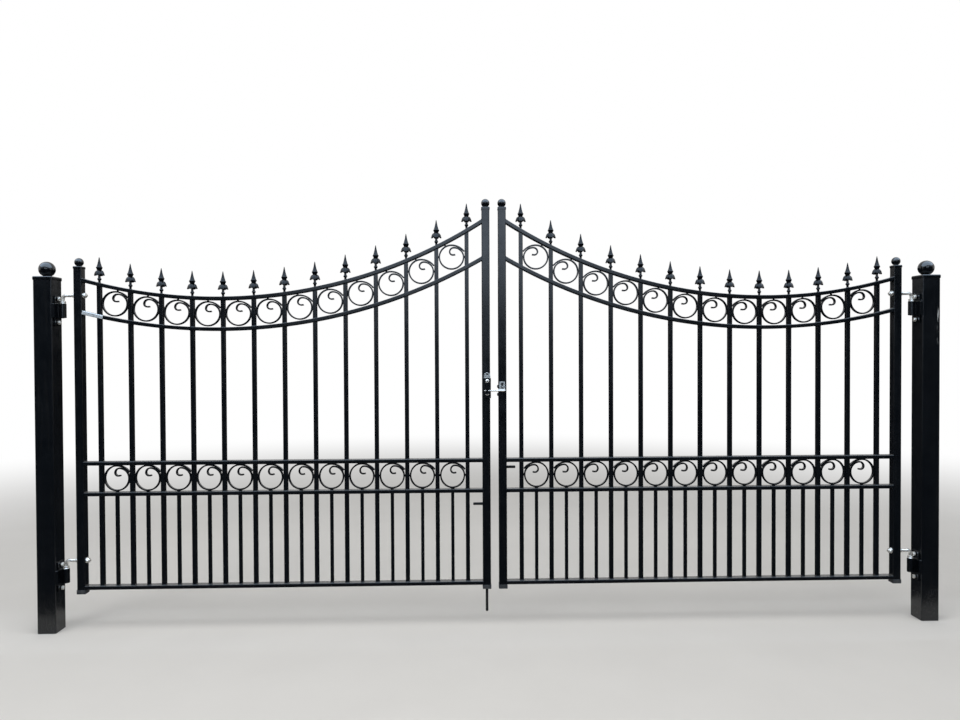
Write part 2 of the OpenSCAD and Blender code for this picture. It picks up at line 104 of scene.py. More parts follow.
def rounded(w, d, r, k=4):
    """Points of a w by d rectangle with corners of radius r: each corner is its centre plus r times a unit turn."""
    a = np.linspace(0, math.pi / 2, k + 1)[None, :] + np.arange(4)[:, None] * math.pi / 2
    cx = (w / 2 - r) * np.array([1, -1, -1, 1])[:, None]
    cy = (d / 2 - r) * np.array([1, 1, -1, -1])[:, None]
    return np.stack([cx + r * np.cos(a), cy + r * np.sin(a)], axis=-1).reshape(-1, 2)


def column(rows, w, d, r, k=4):
    """An upright rounded box: each row (z, inset) is the w by d outline at the height z, drawn in by the inset.

    The corners keep their centres while the outline is drawn in, until their radius is down to 0.3.
    """
    rings = []
    for z, inset in rows:
        outline = rounded(w - 2 * inset, d - 2 * inset, max(r - inset, 0.3), k)
        rings.append(np.column_stack([outline, np.full(len(outline), z)]))
    return skin(np.array(rings))


def turned(z, r, m=48):
    """A skin turned about Z: the point at height z and angle a lies at the radius r(z, a)."""
    z = np.asarray(z, float)
    a = np.arange(m) * 2 * math.pi / m
    r = np.broadcast_to(np.asarray(r, float).reshape(len(z), -1), (len(z), m))
    rings = np.stack([r * np.cos(a), r * np.sin(a), np.broadcast_to(z[:, None], r.shape)], axis=-1)
    return skin(rings, ((0, 0, z[0]), (0, 0, z[-1])))


def ball(radius, z, m=48, rows=28):
    """A sphere about (0, 0, z): radius times sine and cosine of an angle that runs from pole to pole."""
    t = np.linspace(0, math.pi, rows + 1)[1:-1]
    points, quads, fans = turned(z - radius * np.cos(t), radius * np.sin(t), m)
    points[-2:, 2] = z - radius, z + radius
    return points, quads, fans


def hexagon(across, m=48):
    """Radius of a hexagon at each of m angles: half its width over the cosine of the angle from a face's middle."""
    a = np.arange(m) * 2 * math.pi / m
    return across / 2 / np.cos((a + math.pi / 6) % (math.pi / 3) - math.pi / 6)


def nut(across, h, low=0.8, flange=0.0, flange_r=0.0, m=48):
    """A hexagon with both ends chamfered, on a round flange where one is given.

    The hexagon's radius is the lesser of its outline and a cone from each end.
    """
    z = np.array([0, 0.0, 0.6, 1.4, h / 2, h - 1.6, h - 0.8, h, h]) + flange
    reach = np.minimum(z - flange, h - (z - flange))[:, None]
    r = np.minimum(hexagon(across, m)[None, :], across / 2 - low + 1.75 * reach)
    r[0], r[-1] = across * 0.3, across * 0.3
    if flange:
        z = np.concatenate([[0, 0.4, flange * 0.55, flange], z[1:]])
        rim = np.array([[flange_r - 0.4], [flange_r], [flange_r], [across * 0.56]])
        r = np.vstack([np.broadcast_to(rim, (4, m)), r[1:]])
    return turned(z, r, m)


def thread(length, radius, pitch=1.75, depth=0.95, m=24):
    """A threaded stub: its radius less a triangle wave of the height in pitches less the share of a turn.

    The last 1.2 mm taper in by 1.1 mm.
    """
    z = np.arange(0, length + 1e-6, pitch / 8)
    a = np.arange(m) / m
    wave = np.abs(((z[:, None] / pitch - a[None, :]) % 1) * 2 - 1)
    fade = np.clip((length - z) / 1.2, 0, 1)[:, None]
    r = radius - depth * wave - 1.1 * (1 - fade)
    return turned(z, r, m)


def curve(points, steps=5, sharp=()):
    """A smooth line through points: cubic pieces whose slope at a point is half the step across its neighbours.

    At the points numbered in sharp the line breaks: each piece takes its own step for its slope there.
    """
    points = np.asarray(points, float)
    slope = np.zeros_like(points)
    slope[1:-1] = (points[2:] - points[:-2]) / 2
    slope[0], slope[-1] = points[1] - points[0], points[-1] - points[-2]
    t = (np.arange(steps) / steps)[None, :, None]
    p, q = points[:-1, None], points[1:, None]
    out_slope, in_slope = slope[:-1].copy(), slope[1:].copy()
    for k in sharp:
        if k < len(out_slope):
            out_slope[k] = points[k + 1] - points[k]
        if k > 0:
            in_slope[k - 1] = points[k] - points[k - 1]
    u, v = out_slope[:, None], in_slope[:, None]
    way = (2 * t**3 - 3 * t**2 + 1) * p + (t**3 - 2 * t**2 + t) * u + (3 * t**2 - 2 * t**3) * q + (t**3 - t**2) * v
    return np.vstack([way.reshape(-1, points.shape[1]), points[-1:]])


def arc(cx, cz, r, a0, a1, steps):
    """Path rows (x, z, normal x, normal z) on a circle from a0 to a1 degrees; the normal is to the path's left."""
    a = np.radians(np.linspace(a0, a1, steps + 1))
    side = -1 if a1 > a0 else 1
    return np.stack([cx + r * np.cos(a), cz + r * np.sin(a), side * np.cos(a), side * np.sin(a)], axis=-1)


def line(x0, z0, x1, z1, steps=1):
    """Path rows on a straight line from (x0, z0) to (x1, z1)."""
    t = np.linspace(0, 1, steps + 1)
    d = np.array([x1 - x0, z1 - z0]) / math.hypot(x1 - x0, z1 - z0)
    return np.stack([x0 + t * (x1 - x0), z0 + t * (z1 - z0), np.full_like(t, -d[1]), np.full_like(t, d[0])], axis=-1)


def path(*runs):
    """Runs of path rows joined end to end, with the shared rows dropped."""
    return np.vstack([runs[0]] + [run[1:] for run in runs[1:]])


def carried(rows, outline, ease=0.0):
    """A section carried along a path in the XZ plane: point + u along Y + v along the path's normal.

    With an ease, the section is drawn in at both ends over that length, as a dressed end is.
    """
    u, v = outline[:, 0], outline[:, 1]
    scale = np.ones(len(rows))
    if ease:
        inner = rows[[0, -1]]
        along = rows[[1, -2], :2] - inner[:, :2]
        inner[:, :2] += ease * along / np.linalg.norm(along, axis=1)[:, None]
        rows = np.vstack([rows[0], inner[0], rows[1:-1], inner[1], rows[-1]])
        scale = np.ones(len(rows))
        scale[[0, -1]] = 1 - 2 * ease / (v.max() - v.min()) * 0.9
    x = rows[:, 0, None] + scale[:, None] * v * rows[:, 2, None]
    z = rows[:, 1, None] + scale[:, None] * v * rows[:, 3, None]
    y = np.broadcast_to(scale[:, None] * u, x.shape)
    return skin(np.stack([x, y, z], axis=-1))


def circle(r, m=24):
    """Points of a circle."""
    a = np.arange(m) * 2 * math.pi / m
    return np.stack([r * np.cos(a), r * np.sin(a)], axis=-1)


def piped(points, r, m=20):
    """A round bar along a line in space: ring i stands square to the line, r times a unit turn from point i."""
    points = np.asarray(points, float)
    run = np.gradient(points, axis=0)
    run /= np.linalg.norm(run, axis=1)[:, None]
    side = np.cross(run, [0.31, 0.22, 0.93])
    side /= np.linalg.norm(side, axis=1)[:, None]
    up = np.cross(run, side)
    a = np.arange(m) * 2 * math.pi / m
    r = np.broadcast_to(np.asarray(r, float), (len(points),))[:, None, None]
    turn = np.cos(a)[None, :, None] * side[:, None] + np.sin(a)[None, :, None] * up[:, None]
    return skin(points[:, None] + r * turn)


def lump(x, y, z, rx, ry, rz, seed=0, m=8, rows=4):
    """A weld lump: a sphere stretched to three radii, swelled by two low waves round and along it."""
    t = np.linspace(0, math.pi, rows + 2)[1:-1, None]
    a = np.arange(m)[None, :] * 2 * math.pi / m
    swell = 1 + 0.07 * np.sin(2 * a + seed) + 0.06 * np.sin(3 * a + 2.0 * t + 1.7 * seed)
    rings = np.stack([x + rx * swell * np.sin(t) * np.cos(a), y + ry * swell * np.sin(t) * np.sin(a),
                      np.broadcast_to(z - rz * np.cos(t), (rows, m))], axis=-1)
    return skin(rings, ((x, y, z - rz), (x, y, z + rz)))


def weld(w, d, r, size, lay, step=3.2, m=6):
    """A weld run round a w by d outline: a circle whose radius ripples along the run; lay(x, y) gives the height."""
    outline = rounded(w, d, r, 3)
    closed = np.vstack([outline, outline[:1]])
    far = np.concatenate([[0], np.cumsum(np.linalg.norm(np.diff(closed, axis=0), axis=1))])
    s = np.concatenate([np.linspace(a, b, max(1, round((b - a) / step)), endpoint=False)
                        for a, b in zip(far[:-1], far[1:])])
    x, y = np.interp(s, far, closed[:, 0]), np.interp(s, far, closed[:, 1])
    ahead = np.stack([np.roll(x, -1) - np.roll(x, 1), np.roll(y, -1) - np.roll(y, 1)], axis=-1)
    ahead /= np.linalg.norm(ahead, axis=1)[:, None]
    out = np.stack([ahead[:, 1], -ahead[:, 0]], axis=-1)
    a = np.arange(m) * 2 * math.pi / m
    turns = 2 * math.pi * s / far[-1]
    rho = size * (1 + 0.14 * np.sin(round(far[-1] / 8) * turns) + 0.08 * np.sin(3 * turns))
    px = x[:, None] + rho[:, None] * np.cos(a) * out[:, :1]
    py = y[:, None] + rho[:, None] * np.cos(a) * out[:, 1:]
    pz = lay(x, y)[:, None] + rho[:, None] * np.sin(a)
    return loop_skin(np.stack([px, py, pz], axis=-1))


# --- Placing shells

TO_RIGHT = np.array([[0, 0, 1], [0, 1, 0], [-1, 0, 0]])
TO_LEFT = np.array([[0, 0, -1], [0, 1, 0], [1, 0, 0]])
TO_FRONT = np.array([[1, 0, 0], [0, 0, -1], [0, 1, 0]])


def moved(shell, x=0.0, y=0.0, z=0.0, turn=None):
    """A shell turned by a rotation and moved."""
    points, quads, fans = shell
    if turn is not None:
        points = points @ turn.T
    return points + np.array([x, y, z]), quads, fans


def mirrored(shell):
    """A shell seen in a mirror across the middle of the span, with its faces turned round to match."""
    points, quads, fans = shell
    return points * np.array([-1, 1, 1]) + np.array([SPAN, 0, 0]), quads[:, ::-1], fans[:, ::-1]


def on_leaf(shells):
    """Shells moved from the leaf's own corner to its place beside the left post."""
    return [moved(s, LEAF_X, 0, LEAF_LIFT) for s in shells]


def linked(name, data):
    """An object made from its data and put in the scene."""
    thing = bpy.data.objects.new(name, data)
    bpy.context.scene.collection.objects.link(thing)
    return thing


def make(name, shells, body, material, nodes=(), sharp=32):
    """One mesh piece from shells in millimetres, with smooth faces and edges left sharp past an angle."""
    base, points, corners, sizes = 0, [], [], []
    for p, quads, fans in shells:
        points.append(p * 0.001)
        corners += [(quads + base).ravel(), (fans + base).ravel()]
        sizes += [np.full(len(quads), 4), np.full(len(fans), 3)]
        base += len(p)
    points, corners, sizes = np.vstack(points), np.concatenate(corners), np.concatenate(sizes)
    mesh = bpy.data.meshes.new(name)
    mesh.vertices.add(len(points))
    mesh.vertices.foreach_set("co", points.ravel().astype(np.float32))
    mesh.loops.add(len(corners))
    mesh.loops.foreach_set("vertex_index", corners.astype(np.int32))
    mesh.polygons.add(len(sizes))
    mesh.polygons.foreach_set("loop_start", np.concatenate([[0], np.cumsum(sizes)[:-1]]).astype(np.int32))
    mesh.update(calc_edges=True)
    mesh.validate()
    mesh.shade_smooth()
    mesh.set_sharp_from_angle(angle=math.radians(sharp))
    mesh.materials.append(material)
    piece = linked(name, mesh)
    # Wide faces keep their own normals, so a flat tube wall shades flat up to its rounded corners.
    flat = piece.modifiers.new("flat_walls", "WEIGHTED_NORMAL")
    flat.keep_sharp = True
    settle(piece, body, nodes)


def settle(piece, body, nodes):
    """Joins a finished piece to its body and the nodes that it stands for."""
    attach(piece, body)
    if nodes:
        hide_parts(*nodes)


def both(name, shells, material, node=True, sharp=32):
    """The same piece on both leaves: the left one, and its mirror image on the right."""
    placed = on_leaf(shells)
    for side, own in (("left_", placed), ("right_", [mirrored(s) for s in placed])):
        make(side + name + "_shaped", own, side + "leaf", material, (side + name,) if node else (), sharp)


def dressed(name, body, material, bevel, segments):
    """A copy of a node with its doubles merged and its sharp edges broken by a small bevel."""
    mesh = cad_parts[name].data.copy()
    piece = linked(name + "_dressed", mesh)
    merge = piece.modifiers.new("merge", "WELD")
    merge.merge_threshold = 0.00001
    edge = piece.modifiers.new("edges", "BEVEL")
    edge.width, edge.segments, edge.limit_method = bevel * 0.001, segments, "ANGLE"
    edge.angle_limit = math.radians(35)
    edge.use_clamp_overlap = True
    flat = piece.modifiers.new("flat_walls", "WEIGHTED_NORMAL")
    flat.weight = 90
    mesh.shade_smooth()
    mesh.materials.clear()
    mesh.materials.append(material)
    settle(piece, body, (name,))


# --- Materials

def linear(code):
    """Linear colour of an sRGB hex code, by the sRGB curve."""
    c = np.array([int(code[i:i + 2], 16) for i in (1, 3, 5)]) / 255
    return tuple(np.where(c <= 0.04045, c / 12.92, ((c + 0.055) / 1.055) ** 2.4)) + (1.0,)


def add(tree, kind, settings=None, **inputs):
    """One node of the kind, with its settings; each input takes a value or a link, and in_N means input number N."""
    node = tree.nodes.new("ShaderNode" + kind)
    for key, value in (settings or {}).items():
        setattr(node, key, value)
    for key, value in inputs.items():
        socket = node.inputs[int(key[3:])] if key.startswith("in_") else node.inputs[key.replace("_", " ")]
        if isinstance(value, bpy.types.NodeSocket):
            tree.links.new(value, socket)
        else:
            socket.default_value = value
    return node


def finish_start(name):
    """A material with its shader and the Object coordinates that its patterns read."""
    material = bpy.data.materials.new(name)
    material.use_nodes = True
    tree = material.node_tree
    shader = tree.nodes["Principled BSDF"]
    place = add(tree, "TexCoord").outputs["Object"]
    return material, tree, shader, place


def mixed(tree, share, a, b):
    """Colour a with the share of colour b."""
    return add(tree, "Mix", {"data_type": "RGBA"}, in_0=share, in_6=a, in_7=b).outputs[2]


def ramp(tree, value, low, high, to_low=0.0, to_high=1.0):
    """A value carried from one range to another, held at its ends."""
    return add(tree, "MapRange", {"clamp": True, "interpolation_type": "SMOOTHSTEP"}, Value=value, From_Min=low,
               From_Max=high, To_Min=to_low, To_Max=to_high).outputs[0]


def times(tree, a, b):
    """Product of two values."""
    return add(tree, "Math", {"operation": "MULTIPLY"}, in_0=a, in_1=b).outputs[0]


def powder_coat(name, gloss=0.22, peel=0.7):
    """Polyester powder coat, sprayed dry and baked on steel.

    The melt levels to a satin gloss with a faint orange peel. Outdoors it keeps a thin film of dust on upward
    faces and dried splashes low down.
    """
    material, tree, shader, place = finish_start(name)
    base = linear("#05080d")
    split = add(tree, "SeparateXYZ", Vector=place)
    facing = add(tree, "SeparateXYZ", Vector=add(tree, "NewGeometry").outputs["Normal"])
    # Dust lies in patches about 60 mm across, and its specks are about 3 mm.
    patch = add(tree, "TexNoise", Vector=place, Scale=16.0, Detail=4.0, Roughness=0.6).outputs["Fac"]
    speck = add(tree, "TexNoise", Vector=place, Scale=330.0, Detail=2.0).outputs["Fac"]
    upward = ramp(tree, facing.outputs["Z"], 0.55, 0.95)
    dust = times(tree, upward, ramp(tree, patch, 0.38, 0.72, 0.05, 0.3))
    dust = times(tree, dust, ramp(tree, speck, 0.3, 0.7, 0.6, 1.0))
    # Splashes rise to about 200 mm and thin out upwards.
    low = ramp(tree, split.outputs["Z"], 0.03, 0.24, 1.0, 0.0)
    splash = times(tree, low, ramp(tree, speck, 0.54, 0.68, 0.0, 0.3))
    # Rain leaves faint upright runs about 9 mm apart and 250 mm long.
    lanes = add(tree, "Mapping", Vector=place, Scale=(110.0, 110.0, 4.0)).outputs[0]
    runs = add(tree, "TexNoise", Vector=lanes, Scale=1.0, Detail=3.0).outputs["Fac"]
    haze = ramp(tree, runs, 0.5, 0.75, 0.0, 0.02)
    soiled = add(tree, "Math", {"operation": "ADD", "use_clamp": True}, in_0=dust, in_1=splash).outputs[0]
    soiled = add(tree, "Math", {"operation": "ADD", "use_clamp": True}, in_0=soiled, in_1=haze).outputs[0]
    colour = mixed(tree, soiled, base, linear("#6d6a62"))
    rough = add(tree, "Math", {"operation": "ADD"}, in_0=ramp(tree, patch, 0.3, 0.7, gloss - 0.03, gloss + 0.05),
                in_1=times(tree, soiled, 0.2)).outputs[0]
    tree.links.new(colour, shader.inputs["Base Color"])
    tree.links.new(rough, shader.inputs["Roughness"])
    shader.inputs["IOR"].default_value = 1.5
    # Orange peel: swells about 2 mm across and about a hundredth of a millimetre high.
    swell = add(tree, "TexNoise", Vector=place, Scale=480.0, Detail=1.0).outputs["Fac"]
    bump = add(tree, "Bump", Strength=0.1 * peel, Distance=0.0002, Height=swell)
    tree.links.new(bump.outputs[0], shader.inputs["Normal"])
    return material, tree, shader, place, colour, rough


def scuffed_post(name):
    """The powder coat of the right post: pale scuffs in short upright strokes, high on its front's right edge."""
    material, tree, shader, place, colour, rough = powder_coat(name)
    split = add(tree, "SeparateXYZ", Vector=place)
    # The marks keep to a lane under 10 mm wide near the right edge, from 1.23 to 1.42 m up.
    lane_x = 3.9155
    off = add(tree, "Math", {"operation": "SUBTRACT"}, in_0=split.outputs["X"], in_1=lane_x).outputs[0]
    near = ramp(tree, add(tree, "Math", {"operation": "ABSOLUTE"}, in_0=off).outputs[0], 0.0025, 0.005, 1.0, 0.0)
    # Strokes are about 3 mm wide and 60 mm long.
    lanes = add(tree, "Mapping", Vector=place, Scale=(300.0, 60.0, 17.0)).outputs[0]
    strokes = add(tree, "TexNoise", Vector=lanes, Scale=1.0, Detail=3.0, Roughness=0.6).outputs["Fac"]
    band_low = ramp(tree, split.outputs["Z"], 1.23, 1.28)
    band_high = ramp(tree, split.outputs["Z"], 1.38, 1.42, 1.0, 0.0)
    mask = times(tree, times(tree, near, ramp(tree, strokes, 0.53, 0.6)), times(tree, band_low, band_high))
    front = ramp(tree, split.outputs["Y"], -0.0395, -0.0385, 1.0, 0.0)
    mask = times(tree, mask, front)
    tree.links.new(mixed(tree, mask, colour, linear("#a6abad")), shader.inputs["Base Color"])
    worn = add(tree, "Math", {"operation": "ADD", "use_clamp": True}, in_0=rough, in_1=times(tree, mask, 0.3))
    tree.links.new(worn.outputs[0], shader.inputs["Roughness"])
    return material


def worn_lever(name):
    """Powder coat of the latch lever, rubbed to bright steel along the lower rim of its eye."""
    material, tree, shader, place, colour = powder_coat(name)[:5]
    eye = ((LEAF_X + LATCH_X) / 1000, LATCH_FACE_Y / 1000, (LEAF_LIFT + STRIKE_Z - EYE_DROP) / 1000)
    away = add(tree, "VectorMath", {"operation": "SUBTRACT"}, in_0=place, in_1=eye).outputs[0]
    flat = add(tree, "VectorMath", {"operation": "MULTIPLY"}, in_0=away, in_1=(1.0, 0.0, 1.0)).outputs[0]
    reach = add(tree, "VectorMath", {"operation": "LENGTH"}, in_0=flat).outputs["Value"]
    # The rubbed rim starts about 6 mm from the eye's middle and lies below it.
    rim = ramp(tree, reach, 0.0056, 0.0068)
    under = ramp(tree, add(tree, "SeparateXYZ", Vector=away).outputs["Z"], -0.006, -0.003, 1.0, 0.0)
    grain = add(tree, "TexNoise", Vector=place, Scale=700.0, Detail=2.0).outputs["Fac"]
    mask = times(tree, times(tree, rim, under), ramp(tree, grain, 0.25, 0.42))
    tree.links.new(mixed(tree, mask, colour, linear("#e6e4df")), shader.inputs["Base Color"])
    # Scratched every way, the bare steel scatters as much light as it mirrors.
    tree.links.new(ramp(tree, mask, 0.0, 1.0, 0.0, 0.5), shader.inputs["Metallic"])
    return material


def less_mirroring_coat(name, gloss, mirror):
    """Powder coat whose skin mirrors less than a fresh one: on the drop rods rubbed and greased, on the finials
    painted shade that stands in for the dark surroundings that they mirror.
    """
    material, _, shader = powder_coat(name, gloss, 0.6)[:3]
    shader.inputs["Specular IOR Level"].default_value = mirror
    return material


def bright_zinc(name):
    """Zinc plated steel, barrel plated and passivated: a bright metal under a thin pale bloom of its own salts."""
    material, tree, shader, place = finish_start(name)
    # Clouds about 12 mm across; handling marks about 1.5 mm.
    cloud = add(tree, "TexNoise", Vector=place, Scale=85.0, Detail=4.0, Roughness=0.6).outputs["Fac"]
    marks = add(tree, "TexNoise", Vector=place, Scale=650.0, Detail=2.0).outputs["Fac"]
    colour = mixed(tree, ramp(tree, cloud, 0.35, 0.7), linear("#ebe9e4"), linear("#cac7c0"))
    tree.links.new(colour, shader.inputs["Base Color"])
    tree.links.new(ramp(tree, cloud, 0.3, 0.7, 0.22, 0.36), shader.inputs["Roughness"])
    # The bloom hides from about a quarter to under a half of the metal, in the same soft clouds.
    tree.links.new(ramp(tree, cloud, 0.3, 0.7, 0.74, 0.56), shader.inputs["Metallic"])
    bump = add(tree, "Bump", Strength=0.12, Distance=0.0002, Height=marks)
    tree.links.new(bump.outputs[0], shader.inputs["Normal"])
    return material


def hot_dip(name):
    """Hot-dip galvanised steel: the zinc froze in flat crystals, so the grey shifts from grain to grain."""
    material, tree, shader, place = finish_start(name)
    # Crystals about 7 mm across.
    grain = add(tree, "TexVoronoi", {"feature": "F1"}, Vector=place, Scale=150.0)
    tone = add(tree, "SeparateXYZ", Vector=grain.outputs["Color"]).outputs["X"]
    wear = add(tree, "TexNoise", Vector=place, Scale=120.0, Detail=5.0, Roughness=0.65).outputs["Fac"]
    colour = mixed(tree, ramp(tree, tone, 0.0, 1.0), linear("#aeaca7"), linear("#c8c6c0"))
    colour = mixed(tree, ramp(tree, wear, 0.55, 0.75, 0.0, 0.4), colour, linear("#7d8183"))
    tree.links.new(colour, shader.inputs["Base Color"])
    tree.links.new(ramp(tree, tone, 0.0, 1.0, 0.34, 0.5), shader.inputs["Roughness"])
    shader.inputs["Metallic"].default_value = 1.0
    return material


def moulded(name, code, rough, bumpy):
    """Moulded plastic or rubber: a fine matt skin from the mould, with dust held in it."""
    material, tree, shader, place = finish_start(name)
    skin_noise = add(tree, "TexNoise", Vector=place, Scale=900.0, Detail=2.0).outputs["Fac"]
    patch = add(tree, "TexNoise", Vector=place, Scale=40.0, Detail=4.0).outputs["Fac"]
    colour = mixed(tree, ramp(tree, patch, 0.4, 0.75, 0.0, 0.25), linear(code), linear("#5d5b55"))
    tree.links.new(colour, shader.inputs["Base Color"])
    tree.links.new(ramp(tree, patch, 0.3, 0.7, rough, rough + 0.12), shader.inputs["Roughness"])
    bump = add(tree, "Bump", Strength=bumpy, Distance=0.0002, Height=skin_noise)
    tree.links.new(bump.outputs[0], shader.inputs["Normal"])
    return material


def foil(name):
    """Silvered plastic film: a bright satin, duller in weathered patches about 17 mm across."""
    material, tree, shader, place = finish_start(name)
    patch = add(tree, "TexNoise", Vector=place, Scale=60.0, Detail=5.0).outputs["Fac"]
    colour = mixed(tree, ramp(tree, patch, 0.45, 0.7, 0.0, 0.7), linear("#c6c9ca"), linear("#a6a9ab"))
    tree.links.new(colour, shader.inputs["Base Color"])
    tree.links.new(ramp(tree, patch, 0.3, 0.7, 0.38, 0.55), shader.inputs["Roughness"])
    shader.inputs["Metallic"].default_value = 0.7
    return material


COAT = powder_coat("black_powder_coat")[0]
GLOSS = powder_coat("gloss_powder_coat", gloss=0.14, peel=0.4)[0]
POST_COAT = scuffed_post("scuffed_powder_coat")
LEVER_COAT = worn_lever("worn_powder_coat")
ROD_COAT = less_mirroring_coat("rubbed_powder_coat", gloss=0.45, mirror=0.2)
# The finials' coat mirrors less than fresh coat: painted shade for the dark surroundings that their upturned faces
# mirror.
FINIAL_COAT = less_mirroring_coat("finial_painted_shade_coat", gloss=0.26, mirror=0.19)
ZINC = bright_zinc("bright_zinc_plate")
GALVANISED = hot_dip("hot_dip_galvanised")
SLEEVE = moulded("moulded_polyethylene", "#26292c", rough=0.5, bumpy=0.15)
RUBBER = moulded("moulded_rubber", "#101113", rough=0.65, bumpy=0.25)
FOIL = foil("silver_film")
# The two finishes that the part's nodes are sorted into.
BLACK, PLATE = "black_powder_coat", "zinc_plate"


# --- Posts and their caps

def ball_cap(w, h, roof, ball_r, top):
    """A pressed square cover with a turned neck and a ball on it.

    The cover's upper edge is rolled: its rows climb by the sine of an angle and draw in by one less its cosine.
    """
    roll = np.radians(np.linspace(0, 90, 7))
    edge = min(5.0, h * 0.36)
    rows = [(top + roof - h, 0.5), (top + roof - h + 0.4, 0.0)]
    rows += [(top + roof - edge * (1 - math.sin(a)), edge * (1 - math.cos(a))) for a in roll]
    rows += [(top + roof + 0.15, w * 0.2), (top + roof + 0.2, w * 0.3)]
    neck_r = ball_r * 0.42
    neck = curve([(neck_r * 1.5, 0), (neck_r * 1.45, 1.0), (neck_r * 1.05, 2.0), (neck_r, 3.6)], 4)
    neck_top = top + roof - 0.4
    return [column(rows, w, w, 3.0), turned(neck[:, 1] + neck_top, neck[:, 0], 48),
            ball(ball_r, top + roof + ball_r - 1, 64, 40)]


def post_shells():
    """An upright square tube with rounded corners: its outline's rows over the height, drawn in at both ends."""
    return [column([(0, 0.8), (0.8, 0), (POST_H / 2, 0), (POST_H - 0.5, 0), (POST_H, 0.5)], POST_W, POST_W,
                   POST_CORNER, 8)]


make("left_post_tube", post_shells(), "posts", COAT, ("left_post",))
make("right_post_tube", [mirrored(s) for s in post_shells()], "posts", POST_COAT, ("right_post",))
cap = ball_cap(w=POST_W + 3, h=15.5, roof=4, ball_r=33.5, top=POST_H)
make("left_post_cover", cap, "posts", GLOSS, ("left_post_cap",))
make("right_post_cover", [mirrored(s) for s in cap], "posts", GLOSS, ("right_post_cap",))

for bracket in ("left_upper_hinge", "left_lower_hinge", "right_upper_hinge", "right_lower_hinge"):
    dressed(bracket, "posts", COAT, bevel=1.2, segments=3)

# Two hexagon bolts hold each bracket's plate to the post's inner face, each on a ring drawn in the black powder coat.
RING_H = 4.0
ring_under_head = [turned([0, 0.6, RING_H - 0.6, RING_H], [9.1, 9.5, 9.5, 9.1], 48)]
bolt_head = [moved(nut(across=16, h=6.6, flange=1.0, flange_r=8.7), z=RING_H - SUNK),
             moved(turned([0, 1.2, 2.0], [6.8, 6.8, 6.0], 48), z=RING_H + 6.2)]


def at_brackets(shells):
    """Copies of shells on the two bolt places of both brackets of the left post, pointing at the leaf."""
    return [moved(s, POST_W / 2 + BRACKET_T - SUNK, BRACKET_BOLT_Y, LEAF_LIFT + z + off, TO_RIGHT)
            for z in BARRELS for off in (-BRACKET_BOLT_OFF, BRACKET_BOLT_OFF) for s in shells]


for name, shells, material, slot in (("bolts", bolt_head, ZINC, PLATE), ("rings", ring_under_head, COAT, BLACK)):
    make("left_bracket_" + name, at_brackets(shells), "posts", material)
    make("right_bracket_" + name, [mirrored(s) for s in at_brackets(shells)], "posts", material)


# --- Leaf frame

hinge_stile = column([(0, 0.5), (0.5, 0), (HINGE_STILE_H / 2, 0), (HINGE_STILE_H, 0)], STILE_W, STILE_W,
                     STILE_CORNER, 6)
both("hinge_stile", [moved(hinge_stile, STILE_W / 2)], COAT)
for side in ("left", "right"):
    dressed(side + "_meeting_stile", side + "_leaf", COAT, bevel=0.4, segments=2)
    dressed(side + "_foot_sleeves", side + "_leaf", SLEEVE, bevel=1.2, segments=3)

stile_cap = ball_cap(w=STILE_W + 3, h=11, roof=3, ball_r=18.75, top=0)
both("stile_caps", [moved(s, STILE_W / 2, 0, HINGE_STILE_H) for s in stile_cap]
     + [moved(s, MEETING_X, 0, MEETING_STILE_H) for s in stile_cap], GLOSS)


def sag(r, cz, x):
    """Height at x of the lower half of a circle of radius r about (ARCH_LOW_X, cz)."""
    return cz - np.sqrt(r * r - (x - ARCH_LOW_X) ** 2)


# A rail's faces lie 0.3 mm inside the stiles' faces, so that its ends stay hidden in them.
RAIL_SECTION = rounded(STILE_W - 0.6, RAIL_H, RAIL_CORNER, 4)


def straight_rail(z):
    """A rail tube from stile to stile: its rounded section carried along X."""
    return carried(line(STILE_W - 1.2, z + RAIL_H / 2, LEAF_W - STILE_W + 1.2, z + RAIL_H / 2, 4), RAIL_SECTION)


def arched_rail(r, cz):
    """A rail tube rolled to an arc: its rounded section carried along a circle from stile to stile."""
    mid = r + RAIL_H / 2
    a0 = -90 - math.degrees(math.asin((ARCH_LOW_X - STILE_W + 3) / mid))
    a1 = -90 + math.degrees(math.asin((LEAF_W - STILE_W + 3 - ARCH_LOW_X) / mid))
    return carried(arc(ARCH_LOW_X, cz, mid, a0, a1, 180), RAIL_SECTION)


both("bottom_rail", [straight_rail(BOTTOM_RAIL_Z)], COAT)
both("lower_mid_rail", [straight_rail(MID_RAIL_Z)], COAT)
both("upper_mid_rail", [straight_rail(UPPER_MID_Z)], COAT)
both("upper_arch_rail", [arched_rail(ARCH_R, ARCH_CZ)], COAT)
both("lower_arch_rail", [arched_rail(LOWER_ARCH_R, LOWER_ARCH_CZ)], COAT)


def picket(x, w, z0, z1):
    """A square tube picket with rounded corners."""
    return moved(column([(z0, 0), ((z0 + z1) / 2, 0), (z1, 0)], w, w, PICKET_CORNER, 4), x)


both("pickets", [picket(x, PICKET_W, BOTTOM_RAIL_Z + 2, sag(ARCH_R, ARCH_CZ, x) - 9) for x in FULL_X], COAT)
both("short_pickets", [picket(x, SHORT_W, BOTTOM_RAIL_Z + 2, MID_RAIL_Z + 4) for x in SHORT_X], COAT)


def level(z):
    """Height rule of a level joint."""
    return lambda x, y: np.full_like(x, z)


def sloped(r, cz, at):
    """Height rule of a joint that lies on an arched rail, round the picket at x = at."""
    return lambda x, y: sag(r, cz, x + at)


